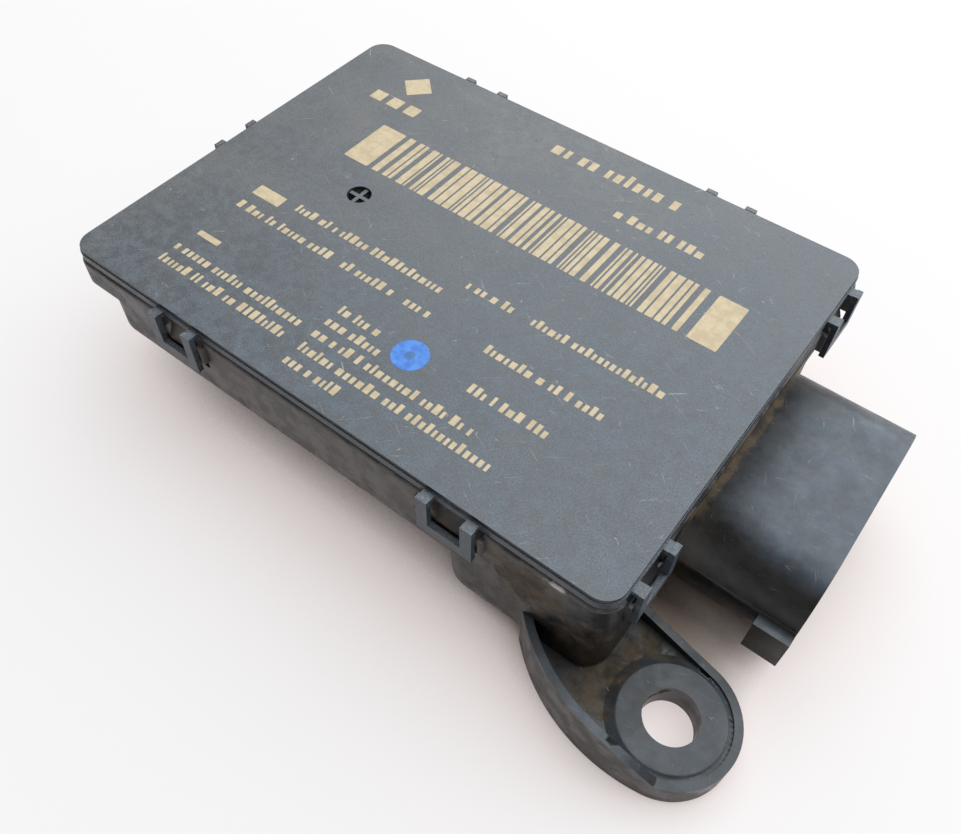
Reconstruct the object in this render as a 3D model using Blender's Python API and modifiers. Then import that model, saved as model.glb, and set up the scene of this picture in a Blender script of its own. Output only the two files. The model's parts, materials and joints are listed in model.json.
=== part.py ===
"""Receiver unit of a vehicle's tyre pressure monitor: a snapped-shut plastic box with a plug collar and one ear.

Metres, +Z up, standing on its pod and ear. Drawn from the lid's left front corner, then centred by one empty.
"""

import math

import bmesh
import bpy
from mathutils import Matrix, Vector

mm = 0.001

# Lid, seen from above: x runs along it towards the plug collar, y towards the back.
lid_length = 100.0 * mm
lid_depth = 73.2 * mm
lid_top = 25.0 * mm
lid_corner = 3.2 * mm
lid_plate = 0.7 * mm
lid_flange = 1.2 * mm
flange_proud = 0.15 * mm
plug_height = 2.6 * mm
plug_wall = 1.5 * mm

# Base, outwards from the lid's edge and down from its rim.
seat_gap = 0.3 * mm
rim_proud = 0.4 * mm
rim_round = 0.6 * mm
rim_wall = 2.0 * mm
rim_height = 4.3 * mm
cavity_corner = 3.0 * mm
floor_wall = 1.6 * mm
tray_depth = 8.6 * mm
tray_left_inset = 6.4 * mm
tray_back_inset = 14.6 * mm
tray_round = 3.0 * mm
pod_length = 26.6 * mm
pod_corner = 4.0 * mm
pod_round = 6.0 * mm
foot_left = 11.0 * mm
foot_front = 15.0 * mm
foot_width = 4.0 * mm
foot_length = 30.0 * mm

# Snap loops on the lid and the catches that they drop over.
front_loops = (24.2 * mm, lid_length - 24.1 * mm)
back_loops = (24.6 * mm, lid_length - 24.1 * mm)
left_loops = (lid_depth / 2 - 0.6 * mm,)
right_loops = (8.5 * mm, lid_depth - 9.3 * mm)
loop_width = 9.2 * mm
loop_window = 5.4 * mm
loop_proud = 2.0 * mm
loop_thickness = 0.9 * mm
loop_drop = 7.3 * mm
loop_step = 0.1 * mm
crossbar_height = 1.9 * mm
catch_width = 4.4 * mm
catch_height = 3.0 * mm
pocket_depth = 0.6 * mm
guide_width = 0.7 * mm
guide_proud = 0.8 * mm

# Vent in the lid and the membrane behind it.
vent_x = 27.2 * mm
vent_y = 36.6 * mm
vent_radius = 2.05 * mm
vent_bar = 0.7 * mm
membrane_radius = 4.0 * mm
membrane_thickness = 0.3 * mm

# Gasket round the lid's plug.
gasket_width = 1.2 * mm
gasket_height = 1.9 * mm

# Plug collar.
collar_front = 16.9 * mm
collar_back_inset = 3.5 * mm
collar_height = 18.0 * mm
collar_lift = 3.0 * mm
collar_radius = 8.9 * mm
collar_wall = 1.8 * mm
collar_length = 18.5 * mm
collar_back_wall = 2.5 * mm
lug_length = 5.2 * mm
lug_height = 6.6 * mm
lug_proud = 1.7 * mm
lug_middle = 9.9 * mm

# Mounting ear.
ear_out = 10.9 * mm
ear_y = 1.4 * mm
ear_radius = 9.4 * mm
ear_hole_radius = 3.9 * mm
ear_floor = 4.2 * mm
ear_pad_radius = 7.2 * mm
ear_pad_height = 5.0 * mm
ear_skirt_spread = 2.6 * mm
ear_groove = 0.3 * mm
flank_radius = 28.0 * mm
flank_run = 12.2 * mm
flank_wall = 1.2 * mm
flank_height = 9.6 * mm
flank_level = 8.3 * mm
flank_fall = 11.0 * mm
back_rib_wall = 1.2 * mm
back_rib_rise = 1.6 * mm
back_rib_root = 12.4 * mm

# Circuit board and what stands on it.
board_clearance = 0.5 * mm
board_thickness = 1.6 * mm
board_height = 15.6 * mm
post_radius = 2.8 * mm
screw_shank = 1.0 * mm
screw_head = 2.2 * mm
screw_head_height = 1.5 * mm
screw_grip = 2.3 * mm
screw_left_inset = 6.0 * mm
screw_right_inset = 28.4 * mm
screw_edge_inset = 5.2 * mm

# Plug pins and the block that holds them.
pin_columns = 5
pin_rows = (13.0 * mm, 9.0 * mm)
pin_leg_insets = (4.1 * mm, 6.7 * mm)
pin_pitch = 4.0 * mm
pin_width = 0.8 * mm
pin_reach = 12.6 * mm
pin_above_board = 1.0 * mm
header_thickness = 2.5 * mm
header_margin = 1.9 * mm
header_lip = 1.8 * mm

# Derived places.
flange_top = lid_top - lid_plate
flange_under = flange_top - lid_flange
rim_top = flange_under - seat_gap
band_bottom = rim_top - rim_height
tray_bottom = band_bottom - tray_depth
ledge_top = band_bottom + floor_wall
wall_left = -rim_proud
wall_right = lid_length + rim_proud
wall_front = -rim_proud
wall_back = lid_depth + rim_proud
tray_left = wall_left + tray_left_inset
tray_back = wall_back - tray_back_inset
pod_left = wall_right - pod_length
cavity_left = wall_left + rim_wall
cavity_right = wall_right - rim_wall
cavity_front = wall_front + rim_wall
cavity_back = wall_back - rim_wall
tray_cavity_back = tray_back - rim_wall
collar_width = tray_back - collar_back_inset - collar_front
collar_middle = collar_front + collar_width / 2
collar_rim = wall_right + collar_length
board_left = tray_left + rim_wall + board_clearance
board_right = cavity_right - board_clearance
board_front = cavity_front + board_clearance
board_back = tray_cavity_back - board_clearance
board_top = board_height + board_thickness
part_height = board_top + seat_gap
screw_places = [
    (x, y)
    for x in (board_left + screw_left_inset, board_right - screw_right_inset)
    for y in (board_front + screw_edge_inset, board_back - screw_edge_inset)
]
loop_bottom = flange_top - loop_drop
ear_x = wall_right + ear_out
flank_start = wall_right - flank_run
flank_fall_start = ear_x - flank_level


def flank_centre():
    """Centre of the big arc that starts on the front wall and runs into the ear's round end."""
    start = Vector((flank_start, wall_front))
    ear = Vector((ear_x, ear_y))
    to_start = flank_radius
    to_ear = flank_radius - ear_radius
    across = ear - start
    along = (to_start ** 2 - to_ear ** 2 + across.length ** 2) / (2 * across.length)
    aside = math.sqrt(to_start ** 2 - along ** 2)
    direction = across.normalized()
    return start + direction * along + Vector((-direction.y, direction.x)) * aside


flank_middle = flank_centre()
left_end = -loop_proud
right_end = ear_x + ear_radius
front_end = min(flank_middle.y - flank_radius, ear_y - ear_radius)
back_end = lid_depth + loop_proud


# ---------------------------------------------------------------- helpers

for old in list(bpy.data.objects):
    bpy.data.objects.remove(old, do_unlink=True)


def new_collection(name, hidden=False):
    made = bpy.data.collections.new(name)
    bpy.context.scene.collection.children.link(made)
    made.hide_render = hidden
    return made


parts = new_collection("pressure_monitor")
cutters = new_collection("cutters", hidden=True)

frame = bpy.data.objects.new("monitor_frame", None)
frame.location = (-(left_end + right_end) / 2, -(front_end + back_end) / 2, 0.0)
parts.objects.link(frame)
lid_frame = bpy.data.objects.new("lid_frame", None)
lid_frame.location = (lid_length / 2, lid_depth / 2, rim_top)
lid_frame.parent = frame
parts.objects.link(lid_frame)


def helper_collection(name):
    made = bpy.data.collections.new(name)
    cutters.children.link(made)
    return made


def material(name, colour, roughness, metallic=0.0):
    made = bpy.data.materials.new(name)
    made.use_nodes = True
    shader = made.node_tree.nodes["Principled BSDF"]
    shader.inputs["Base Color"].default_value = (*colour, 1.0)
    shader.inputs["Roughness"].default_value = roughness
    shader.inputs["Metallic"].default_value = metallic
    made.diffuse_color = (*colour, 1.0)
    return made


def place(mesh, name, location, collection, surface=None, parent=None, rotation=(0.0, 0.0, 0.0)):
    """Puts a mesh in the scene. Without a surface it is a helper, which the finished object leaves out."""
    made = bpy.data.objects.new(name, mesh)
    collection.objects.link(made)
    made.location = location
    made.rotation_euler = rotation
    made.parent = parent or frame
    if parent is lid_frame:
        made.location = Vector(location) - lid_frame.location
    if surface:
        mesh.materials.append(surface)
        mesh.shade_smooth()
        mesh.set_sharp_from_angle(angle=math.radians(35))
    else:
        made.hide_render = True
        made.display_type = "WIRE"
    return made


def upright(edge):
    return abs((edge.verts[0].co - edge.verts[1].co).z) > 1e-7


def at_height(edge, height):
    return all(abs(vert.co.z - height) < 1e-7 for vert in edge.verts)


def block_mesh(name, size, corner=0.0, top_round=0.0, bottom_round=0.0, steps=4):
    """A box about its own middle, with rounded upright corners and, where asked, a rounded top or bottom edge."""
    shape = bmesh.new()
    bmesh.ops.create_cube(shape, size=1.0)
    bmesh.ops.scale(shape, vec=size, verts=shape.verts)
    if corner:
        edges = [edge for edge in shape.edges if upright(edge)]
        bmesh.ops.bevel(shape, geom=edges, offset=corner, segments=steps, profile=0.5, affect="EDGES")
    for amount, height in ((top_round, size[2] / 2), (bottom_round, -size[2] / 2)):
        if amount:
            edges = [edge for edge in shape.edges if at_height(edge, height)]
            bmesh.ops.bevel(shape, geom=edges, offset=amount, segments=steps, profile=0.5, affect="EDGES")
    mesh = bpy.data.meshes.new(name)
    shape.to_mesh(mesh)
    shape.free()
    return mesh


def block(name, low, high, collection, surface=None, parent=None, **rounding):
    """A box between two corners, in the frame of the lid's left front corner."""
    size = [high[i] - low[i] for i in range(3)]
    middle = [(high[i] + low[i]) / 2 for i in range(3)]
    return place(block_mesh(name, size, **rounding), name, middle, collection, surface, parent)


def drum(name, x, y, radius, low, high, collection, surface=None, parent=None, sides=32):
    shape = bmesh.new()
    bmesh.ops.create_cone(
        shape, cap_ends=True, segments=sides, radius1=radius, radius2=radius, depth=high - low
    )
    mesh = bpy.data.meshes.new(name)
    shape.to_mesh(mesh)
    shape.free()
    return place(mesh, name, (x, y, (low + high) / 2), collection, surface, parent)


def flat_mesh(name, outline, thickness):
    """A flat outline filled and thickened about its own plane, as one closed mesh."""
    curve = bpy.data.curves.new(name, "CURVE")
    curve.dimensions = "2D"
    curve.fill_mode = "BOTH"
    curve.extrude = thickness / 2
    line = curve.splines.new("POLY")
    line.points.add(len(outline) - 1)
    for point, (x, y) in zip(line.points, outline):
        point.co = (x, y, 0.0, 1.0)
    line.use_cyclic_u = True
    drawn = bpy.data.objects.new(name, curve)
    cutters.objects.link(drawn)
    bpy.context.view_layer.update()
    mesh = bpy.data.meshes.new_from_object(drawn.evaluated_get(bpy.context.evaluated_depsgraph_get()))
    bpy.data.objects.remove(drawn, do_unlink=True)
    shape = bmesh.new()
    shape.from_mesh(mesh)
    bmesh.ops.remove_doubles(shape, verts=shape.verts, dist=1e-6)
    bmesh.ops.recalc_face_normals(shape, faces=shape.faces)
    shape.to_mesh(mesh)
    shape.free()
    mesh.name = name
    return mesh


def plan_solid(name, outline, low, high, collection):
    """An outline seen from above, between two heights."""
    return place(flat_mesh(name, outline, high - low), name, (0.0, 0.0, (low + high) / 2), collection)


def turned(name, profile, x, y, height, collection, surface=None, parent=None, steps=24):
    """A profile of (radius, height) points, turned about an upright axis. It runs down its outer side."""
    mesh = bpy.data.meshes.new(name)
    shape = bmesh.new()
    verts = [shape.verts.new((radius, 0.0, z)) for radius, z in profile]
    for first, second in zip(verts, verts[1:]):
        shape.edges.new((first, second))
    if profile[0][0] > 0.0:
        shape.edges.new((verts[-1], verts[0]))
    shape.to_mesh(mesh)
    shape.free()
    made = place(mesh, name, (x, y, height), collection, surface, parent)
    screw = made.modifiers.new("turn", "SCREW")
    screw.steps = steps
    screw.render_steps = steps
    screw.use_merge_vertices = True
    screw.merge_threshold = 1e-5
    screw.use_smooth_shade = True
    return made


def combine(target, operation, collection, solver="EXACT"):
    """Joins or cuts with a whole collection. Where many walls are flush, EXACT leaves edges open."""
    change = target.modifiers.new(f"{operation.lower()}_{collection.name}", "BOOLEAN")
    change.operation = operation
    change.operand_type = "COLLECTION"
    change.collection = collection
    change.solver = solver
    return change


def side_box(side, along, width, inner, outer, low, high):
    """Corners of a box beside the lid: inner and outer are distances outwards from its edge."""
    near = along - width / 2
    far = along + width / 2
    spans = {
        "front": ((near, far), (-outer, -inner)),
        "back": ((near, far), (lid_depth + inner, lid_depth + outer)),
        "left": ((-outer, -inner), (near, far)),
        "right": ((lid_length + inner, lid_length + outer), (near, far)),
    }[side]
    return (spans[0][0], spans[1][0], low), (spans[0][1], spans[1][1], high)


def clips():
    """Every snap loop, as its side of the lid and its place along it."""
    for side, places in (
        ("front", front_loops),
        ("back", back_loops),
        ("left", left_loops),
        ("right", right_loops),
    ):
        for number, along in enumerate(places, 1):
            yield f"{side}_{number}", side, along


# ---------------------------------------------------------------- lid

lid_black = material("lid_black", (0.055, 0.060, 0.070), 0.55)
base_black = material("base_black", (0.040, 0.038, 0.036), 0.60)
rubber_black = material("gasket_rubber", (0.02, 0.02, 0.02), 0.85)
membrane_white = material("membrane_white", (0.75, 0.75, 0.72), 0.80)


def make_lid():
    added = helper_collection("lid_added")
    removed = helper_collection("lid_removed")
    bars = helper_collection("lid_bars")
    lid = block(
        "lid",
        (0.0, 0.0, flange_under + lid_flange / 2),
        (lid_length, lid_depth, lid_top),
        parts,
        lid_black,
        lid_frame,
        corner=lid_corner,
        steps=8,
    )
    block(
        "flange",
        (-flange_proud, -flange_proud, flange_under),
        (lid_length + flange_proud, lid_depth + flange_proud, flange_top),
        added,
        corner=lid_corner + flange_proud,
        steps=8,
    )
    edge = rim_wall - rim_proud + seat_gap + gasket_width + seat_gap
    corner = cavity_corner - seat_gap - gasket_width
    block(
        "plug",
        (edge, edge, flange_under - plug_height),
        (lid_length - edge, lid_depth - edge, flange_under + lid_flange / 2),
        added,
        corner=corner,
    )
    inside = edge + plug_wall
    block(
        "plug_hollow",
        (inside, inside, flange_under - 2 * plug_height),
        (lid_length - inside, lid_depth - inside, flange_under),
        removed,
        corner=corner / 2,
    )
    for name, side, along in clips():
        inner = loop_proud - loop_thickness
        top = flange_top - loop_step
        low, high = side_box(side, along, loop_width, inner, loop_proud, loop_bottom, top)
        block(f"loop_{name}", low, high, added)
        narrower = loop_width - 2 * loop_step
        under = flange_under + loop_step
        low, high = side_box(side, along, narrower, -seat_gap, inner + loop_thickness / 2, under, top - loop_step)
        block(f"arm_{name}", low, high, added)
        inner = flange_proud + loop_step
        low, high = side_box(
            side, along, loop_window, inner, 2 * loop_proud, loop_bottom + crossbar_height, 2 * lid_top
        )
        block(f"window_{name}", low, high, removed)
    drum("vent_hole", vent_x, vent_y, vent_radius, flange_under - seat_gap, lid_top + seat_gap, removed)
    reach = vent_radius + seat_gap
    half = vent_bar / 2
    top = lid_top - half
    block("bar_x", (vent_x - reach, vent_y - half, flange_under), (vent_x + reach, vent_y + half, top), bars)
    block("bar_y", (vent_x - half, vent_y - reach, flange_under), (vent_x + half, vent_y + reach, top), bars)
    combine(lid, "UNION", added)
    combine(lid, "DIFFERENCE", removed)
    combine(lid, "UNION", bars)


def make_gasket():
    middle = helper_collection("gasket_middle")
    edge = rim_wall - rim_proud + seat_gap
    top = flange_under - seat_gap
    corner = cavity_corner - seat_gap
    gasket = block(
        "lid_gasket",
        (edge, edge, top - gasket_height),
        (lid_length - edge, lid_depth - edge, top),
        parts,
        rubber_black,
        lid_frame,
        corner=corner,
    )
    inside = edge + gasket_width
    block(
        "gasket_inside",
        (inside, inside, top - 2 * gasket_height),
        (lid_length - inside, lid_depth - inside, lid_top),
        middle,
        corner=corner - gasket_width,
    )
    combine(gasket, "DIFFERENCE", middle)


def make_membrane():
    top = flange_under - seat_gap
    low = top - membrane_thickness
    drum("vent_membrane", vent_x, vent_y, membrane_radius, low, top, parts, membrane_white, lid_frame)


# ---------------------------------------------------------------- base housing


def arc(centre, radius, start, end, steps):
    """Points on an arc, from one angle to another, in radians."""
    for step in range(steps + 1):
        angle = start + (end - start) * step / steps
        yield centre[0] + radius * math.cos(angle), centre[1] + radius * math.sin(angle)


def ear_angles():
    """Where the flank arc starts and meets the round end, and where the back edge leaves that end."""
    start = math.atan2(wall_front - flank_middle.y, flank_start - flank_middle.x)
    meet = math.atan2(ear_y - flank_middle.y, ear_x - flank_middle.x)
    root = Vector((wall_right - ear_x, back_rib_root - ear_y))
    leave = math.atan2(root.y, root.x) - math.acos(ear_radius / root.length)
    return start, meet, leave


def add_ear(added, removed):
    start, meet, leave = ear_angles()
    ear = (ear_x, ear_y)
    inside = wall_right - rim_wall
    outline = list(arc(flank_middle, flank_radius, start, meet, 18))
    outline += list(arc(ear, ear_radius, meet, leave, 30))[1:]
    outline += [(wall_right, back_rib_root), (inside, back_rib_root), (inside, cavity_front)]
    outline += [(flank_start, cavity_front)]
    plan_solid("ear_plate", outline, 0.0, ear_floor, added)
    dip = ear_pad_height - ear_groove
    spread = ear_pad_radius + ear_skirt_spread
    pad = [
        (0.0, ear_pad_height),
        (ear_pad_radius, ear_pad_height),
        (ear_pad_radius + ear_groove, dip),
        (spread, ear_floor - ear_groove),
        (spread, ear_floor / 2),
        (0.0, ear_floor / 2),
    ]
    ear_pad = turned("ear_pad", pad, ear_x, ear_y, 0.0, added, steps=64)
    beyond_wall = helper_collection("ear_skirt_beyond")
    ring = [
        (2 * ear_radius, ear_floor / 4),
        (ear_radius - flank_wall / 2, ear_floor / 4),
        (ear_radius - flank_wall / 2, 2 * ear_floor),
        (2 * ear_radius, 2 * ear_floor),
    ]
    turned("ear_skirt_ring", ring, ear_x, ear_y, 0.0, beyond_wall, steps=64)
    combine(ear_pad, "DIFFERENCE", beyond_wall)

    # The wall round the ear: high along the flank, then falling to the pad's level at the round end.
    wall = list(arc(flank_middle, flank_radius, start, meet, 18))
    wall += list(arc(ear, ear_radius, meet, leave, 30))[1:]
    wall += list(arc(ear, ear_radius - flank_wall, leave, meet, 30))
    wall += list(arc(flank_middle, flank_radius - flank_wall, meet, start, 18))[1:]
    rim = plan_solid("ear_wall", wall, 0.0, flank_height, added)
    above = helper_collection("ear_wall_above")
    drop = flank_height - ear_pad_height
    slope = []
    for step in range(9):
        share = step / 8
        slope.append((flank_fall_start + flank_fall * share, flank_height - drop * share ** 2))
    beyond = right_end + flank_wall
    slope += [(beyond, ear_pad_height), (beyond, 2 * flank_height), (flank_fall_start, 2 * flank_height)]
    cutter = flat_mesh("ear_wall_slope", slope, 4 * ear_radius)
    place(cutter, "ear_wall_slope", (0.0, ear_y, 0.0), above, rotation=(math.radians(90), 0.0, 0.0))
    low = (flank_start - flank_wall, ear_y + flank_wall, ear_pad_height)
    high = (beyond, ear_y + 2 * ear_radius, 2 * flank_height)
    block("ear_wall_back", low, high, above)
    combine(rim, "DIFFERENCE", above)

    # The low rib along the back edge rises towards the box.
    angle = leave + math.pi / 2
    length = math.hypot(wall_right - ear_x, back_rib_root - ear_y) * math.sin(
        math.acos(ear_radius / math.hypot(wall_right - ear_x, back_rib_root - ear_y))
    )
    profile = [
        (-seat_gap, 0.0),
        (length + rim_wall / 2, 0.0),
        (length + rim_wall / 2, ear_pad_height + back_rib_rise),
        (length, ear_pad_height + back_rib_rise),
        (0.0, ear_pad_height),
        (-seat_gap, ear_pad_height),
    ]
    middle = ear_radius - back_rib_wall / 2
    spot = (ear_x + middle * math.cos(leave), ear_y + middle * math.sin(leave), 0.0)
    rib = flat_mesh("ear_back_rib", profile, back_rib_wall)
    turn = Matrix.Rotation(angle, 3, "Z") @ Matrix.Rotation(math.radians(90), 3, "X")
    place(rib, "ear_back_rib", spot, added, rotation=turn.to_euler())
    drum("ear_hole", ear_x, ear_y, ear_hole_radius, -seat_gap, flank_height, removed, sides=64)


def add_collar(added, removed):
    """A rounded tube along x. Its mesh is a block stood on end and turned over."""
    over = (0.0, math.radians(90), 0.0)
    root = cavity_right + seat_gap
    outer = block_mesh(
        "collar", (collar_height, collar_width, collar_rim - root), corner=collar_radius, steps=14
    )
    middle = ((root + collar_rim) / 2, collar_middle, collar_lift + collar_height / 2)
    place(outer, "collar", middle, added, rotation=over)
    block(
        "collar_lug",
        (collar_rim - lug_length, collar_front - lug_proud, lug_middle - lug_height / 2),
        (collar_rim, collar_front + collar_wall / 2, lug_middle + lug_height / 2),
        added,
    )
    floor = cavity_right + collar_back_wall
    past = collar_rim + seat_gap
    hollow = block_mesh(
        "collar_hollow",
        (collar_height - 2 * collar_wall, collar_width - 2 * collar_wall, past - floor),
        corner=collar_radius - collar_wall,
        steps=14,
    )
    place(hollow, "collar_hollow", ((floor + past) / 2, middle[1], middle[2]), removed, rotation=over)


def header_box(grown=0.0):
    """The part of the pin block that passes through the wall, grown all round by a clearance."""
    half_width = pin_pitch * (pin_columns - 1) / 2 + header_margin + grown
    low = min(pin_rows) - header_margin - grown
    high = max(pin_rows) + header_margin + grown
    return collar_middle - half_width, collar_middle + half_width, low, high


def add_clip_seats(removed, late):
    """A shallow pocket, a catch and two guide ribs on the base for each loop."""
    floor = rim_proud - pocket_depth
    for name, side, along in clips():
        pocket = side_box(
            side, along, loop_width + 4 * seat_gap, floor, 2 * loop_proud, band_bottom - floor_wall, lid_top
        )
        block(f"pocket_{name}", *pocket, removed)
        bottom = loop_bottom + crossbar_height + seat_gap
        top = bottom + catch_height
        nose = loop_proud - loop_thickness - seat_gap
        root = floor - seat_gap
        profile = [(root, bottom), (nose, bottom), (nose, bottom + catch_height / 4), (floor, top), (root, top)]
        wedge = flat_mesh(f"catch_{name}", profile, catch_width)
        outward = {"front": (0, -1), "back": (0, 1), "left": (-1, 0), "right": (1, 0)}[side]
        spot = {
            "front": (along, 0.0, 0.0),
            "back": (along, lid_depth, 0.0),
            "left": (0.0, along, 0.0),
            "right": (lid_length, along, 0.0),
        }[side]
        turn = Matrix.Rotation(math.atan2(outward[1], outward[0]), 3, "Z") @ Matrix.Rotation(
            math.radians(90), 3, "X"
        )
        place(wedge, f"catch_{name}", spot, late, rotation=turn.to_euler())
        reach = loop_width / 2 + seat_gap + guide_width / 2
        for hand, offset in (("a", -reach), ("b", reach)):
            rib = side_box(
                side,
                along + offset,
                guide_width,
                floor - seat_gap,
                rim_proud + guide_proud,
                band_bottom + seat_gap,
                rim_top - rim_round,
            )
            block(f"guide_{name}_{hand}", *rib, late)


def make_base():
    added = helper_collection("base_added")
    removed = helper_collection("base_removed")
    late = helper_collection("base_late")
    base = block(
        "base_housing",
        (wall_left, wall_front, band_bottom),
        (wall_right, wall_back, rim_top),
        parts,
        base_black,
        corner=lid_corner + rim_proud,
        top_round=rim_round,
        steps=8,
    )
    block(
        "tray",
        (tray_left, wall_front, tray_bottom),
        (wall_right, tray_back, band_bottom + floor_wall / 2),
        added,
        corner=lid_corner + rim_proud,
        bottom_round=tray_round,
        steps=6,
    )
    block(
        "pod",
        (pod_left, wall_front, 0.0),
        (wall_right, tray_back, tray_bottom + tray_round + floor_wall),
        added,
        corner=pod_corner,
        bottom_round=pod_round,
        steps=8,
    )
    block(
        "foot",
        (foot_left, foot_front, 0.0),
        (foot_left + foot_width, foot_front + foot_length, tray_bottom + floor_wall / 2),
        added,
        corner=foot_width / 4,
    )
    add_collar(added, removed)
    add_ear(added, removed)

    block(
        "rim_cavity",
        (cavity_left, cavity_front, ledge_top),
        (cavity_right, cavity_back, rim_top + seat_gap),
        removed,
        corner=cavity_corner,
    )
    block(
        "tray_cavity",
        (tray_left + rim_wall, cavity_front, tray_bottom + floor_wall),
        (cavity_right, tray_cavity_back, ledge_top + seat_gap),
        removed,
        corner=cavity_corner / 2,
        bottom_round=tray_round - floor_wall,
    )
    block(
        "pod_cavity",
        (pod_left + rim_wall, cavity_front, floor_wall),
        (cavity_right, tray_cavity_back, tray_bottom + 2 * floor_wall),
        removed,
        corner=pod_corner - rim_wall,
        bottom_round=pod_round - rim_wall,
    )
    front, back, low, high = header_box(seat_gap)
    block(
        "header_opening",
        (cavity_right - seat_gap, front, low),
        (cavity_right + collar_back_wall + seat_gap, back, high),
        removed,
    )
    add_clip_seats(removed, late)
    for number, (x, y) in enumerate(screw_places, 1):
        sink = tray_bottom + floor_wall / 2
        top = board_height - seat_gap - sink
        hole = screw_shank + seat_gap
        profile = [(hole, top), (post_radius, top), (post_radius, 0.0), (hole, 0.0)]
        turned(f"post_{number}", profile, x, y, sink, late)
    combine(base, "UNION", added, "MANIFOLD")
    combine(base, "DIFFERENCE", removed, "MANIFOLD")
    combine(base, "UNION", late, "MANIFOLD")


# ---------------------------------------------------------------- circuit board, screws and plug pins

board_green = material("board_green", (0.02, 0.16, 0.07), 0.45)
screw_zinc = material("screw_zinc", (0.62, 0.62, 0.60), 0.35, 1.0)
header_black = material("header_black", (0.015, 0.015, 0.016), 0.50)
pin_tin = material("pin_tin", (0.70, 0.69, 0.66), 0.30, 1.0)


def pin_places():
    """Every plug pin, as its number, its place across the collar, its height and where its leg stands."""
    number = 0
    for height, inset in zip(pin_rows, pin_leg_insets):
        for column in range(pin_columns):
            number += 1
            across = collar_middle + (column - (pin_columns - 1) / 2) * pin_pitch
            yield number, across, height, board_right - inset


def make_board():
    holes = helper_collection("board_holes")
    board = block(
        "circuit_board",
        (board_left, board_front, board_height),
        (board_right, board_back, board_top),
        parts,
        board_green,
        corner=1.0 * mm,
        steps=2,
    )
    reach = board_thickness
    for number, (x, y) in enumerate(screw_places, 1):
        radius = screw_shank + seat_gap
        drum(f"screw_hole_{number}", x, y, radius, board_height - reach, board_top + reach, holes, sides=20)
    half = pin_width / 2 + seat_gap
    for number, y, _, leg in pin_places():
        low = (leg - half, y - half, board_height - reach)
        high = (leg + half, y + half, board_top + reach)
        block(f"pin_hole_{number}", low, high, holes)
    combine(board, "DIFFERENCE", holes)


def make_screws():
    """Pan-head screws: a shank through the board into its post, and a domed head."""
    for number, (x, y) in enumerate(screw_places, 1):
        dome = screw_head_height
        profile = [
            (0.0, dome),
            (screw_head * 0.55, dome * 0.93),
            (screw_head * 0.88, dome * 0.60),
            (screw_head, dome * 0.15),
            (screw_head, 0.0),
            (screw_shank, 0.0),
            (screw_shank, -board_thickness - 2 * seat_gap - screw_grip),
            (0.0, -board_thickness - 2 * seat_gap - screw_grip - screw_shank / 2),
        ]
        turned(f"board_screw_{number}", profile, x, y, board_top + seat_gap, parts, screw_zinc, steps=20)


def make_header():
    holes = helper_collection("header_holes")
    joined = helper_collection("header_joined")
    front, back, low, high = header_box()
    face = cavity_right - seat_gap
    header = block(
        "pin_header",
        (face - header_thickness, front - header_lip, low - header_lip),
        (face, back + header_lip, board_height - seat_gap),
        parts,
        header_black,
    )
    nose = cavity_right + collar_back_wall + seat_gap
    block("header_nose", (face - header_thickness / 2, front, low), (nose, back, high), joined)
    half = pin_width / 2 + seat_gap
    for number, y, height, _ in pin_places():
        start = (face - 2 * header_thickness, y - half, height - half)
        end = (nose + header_thickness, y + half, height + half)
        block(f"pin_tunnel_{number}", start, end, holes)
    combine(header, "UNION", joined)
    combine(header, "DIFFERENCE", holes)


def make_pins():
    """Bent pins: along x into the collar, then up through the board."""
    half = pin_width / 2
    tip = cavity_right + collar_back_wall + pin_reach
    top = board_top + pin_above_board
    for number, y, height, leg in pin_places():
        outline = [
            (leg - half, height - half),
            (tip - half, height - half),
            (tip, height - half / 2),
            (tip, height + half / 2),
            (tip - half, height + half),
            (leg + half, height + half),
            (leg + half, top),
            (leg - half, top),
        ]
        mesh = flat_mesh(f"terminal_pin_{number}", outline, pin_width)
        place(mesh, f"terminal_pin_{number}", (0.0, y, 0.0), parts, pin_tin, rotation=(math.radians(90), 0.0, 0.0))


# ---------------------------------------------------------------- electronic components

chip_black = material("chip_black", (0.02, 0.02, 0.022), 0.45)
can_tin = material("can_tin", (0.66, 0.66, 0.64), 0.30, 1.0)
ferrite_grey = material("ferrite_grey", (0.09, 0.09, 0.09), 0.60)
sleeve_dark = material("sleeve_dark", (0.03, 0.03, 0.05), 0.35)
tantalum_orange = material("tantalum_orange", (0.75, 0.38, 0.08), 0.50)
antenna_copper = material("antenna_copper", (0.72, 0.38, 0.22), 0.30, 1.0)

# Name, place along and across the board as shares of it, length, width and height in mm, corner radius, material.
board_blocks = (
    ("microcontroller", 0.46, 0.52, 12.0, 12.0, 1.6, 0.4, chip_black),
    ("crystal", 0.40, 0.19, 11.0, 4.6, 3.4, 2.2, can_tin),
    ("bus_transceiver", 0.73, 0.28, 5.0, 4.0, 1.6, 0.2, chip_black),
    ("surge_diode", 0.85, 0.47, 7.0, 6.0, 2.4, 0.3, chip_black),
    ("voltage_regulator", 0.77, 0.67, 9.0, 10.0, 4.2, 0.4, chip_black),
    ("choke_coil", 0.59, 0.76, 10.0, 10.0, 4.4, 1.8, ferrite_grey),
    ("tantalum_capacitor_1", 0.61, 0.58, 6.0, 3.2, 2.6, 0.2, tantalum_orange),
    ("tantalum_capacitor_2", 0.61, 0.47, 6.0, 3.2, 2.6, 0.2, tantalum_orange),
    ("tantalum_capacitor_3", 0.33, 0.65, 6.0, 3.2, 2.6, 0.2, tantalum_orange),
)
can_place = (0.19, 0.34)
can_size = (17.0 * mm, 15.0 * mm)
receiver_side = 7.0 * mm
receiver_height = 1.2 * mm
filter_side = 3.8 * mm
filter_height = 1.3 * mm
can_chip_gap = 2.0 * mm
can_height = 3.6 * mm
can_wall = 0.4 * mm
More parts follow.
